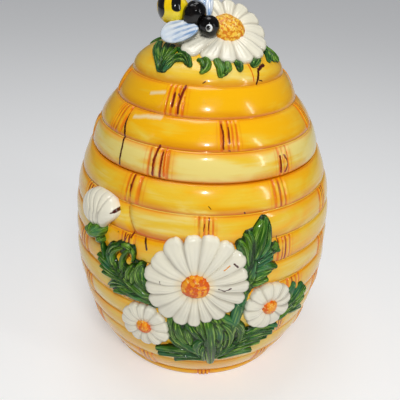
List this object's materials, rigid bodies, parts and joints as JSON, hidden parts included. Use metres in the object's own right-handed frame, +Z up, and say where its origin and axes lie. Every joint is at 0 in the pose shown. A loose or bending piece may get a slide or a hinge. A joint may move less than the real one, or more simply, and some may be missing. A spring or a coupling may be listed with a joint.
{
  "type": "cookie jar",
  "caption": "Beehive-shaped glazed earthenware cookie jar with a lift-off lid, coiled-straw relief, applied daisies and leaves, and a bee and daisy on top as the grip.",
  "frame": {"origin": "centre of the jar's flat foot, on the surface that it stands on", "axes": "+Z up along the jar's axis; the daisies face -Y, so -Y is the front and +X is the right side seen from the front"},
  "size_m": [0.1939, 0.1987, 0.2726],
  "materials": {
    "straw_glaze": "glossy golden yellow glaze, streaked along the coils, with orange-brown pooled in the grooves",
    "petal_glaze": "glossy white glaze with soft grey and cream in the valleys",
    "orange_disc_glaze": "stippled orange glaze with darker strokes",
    "amber_disc_glaze": "stippled amber-yellow glaze with orange-brown dots",
    "leaf_glaze": "glossy deep green glaze brushed with lighter and bluer strokes",
    "black_glaze": "very glossy black glaze",
    "bee_yellow_glaze": "glossy bright yellow glaze with black bands",
    "wing_glaze": "glossy pale blue-white glaze with blue streaks"
  },
  "bodies": {
    "jar": {"jar_body": "straw_glaze", "large_daisy_petals": "petal_glaze", "large_daisy_disc": "orange_disc_glaze", "left_daisy_petals": "petal_glaze", "left_daisy_disc": "orange_disc_glaze", "right_daisy_petals": "petal_glaze", "right_daisy_disc": "orange_disc_glaze", "bud_petals": "petal_glaze", "bud_calyx": "leaf_glaze", "bud_knob": "leaf_glaze", "bud_stem": "leaf_glaze", "left_leaf": "leaf_glaze", "low_left_leaf": "leaf_glaze", "low_middle_leaf": "leaf_glaze", "low_right_leaf": "leaf_glaze", "upper_right_leaf": "leaf_glaze", "far_right_leaf": "leaf_glaze"},
    "lid": {"lid_shell": "straw_glaze", "top_daisy_petals": "petal_glaze", "top_daisy_disc": "amber_disc_glaze", "bee_head": "black_glaze", "bee_near_eye": "black_glaze", "bee_far_eye": "black_glaze", "bee_thorax": "black_glaze", "bee_abdomen": "bee_yellow_glaze", "bee_near_wing": "wing_glaze", "bee_far_wing": "wing_glaze", "cap_leaf_1": "leaf_glaze", "cap_leaf_2": "leaf_glaze", "cap_leaf_3": "leaf_glaze", "cap_leaf_4": "leaf_glaze", "cap_leaf_5": "leaf_glaze", "cap_leaf_6": "leaf_glaze", "cap_leaf_7": "leaf_glaze", "cap_leaf_8": "leaf_glaze", "cap_leaf_9": "leaf_glaze", "cap_leaf_10": "leaf_glaze", "cap_leaf_11": "leaf_glaze"}
  },
  "joints": [
    {"name": "lid_lift", "type": "slide", "parent": "jar", "child": "lid", "axis": [0, 0, 1], "range_m": [0, 0.12]}
  ]
}
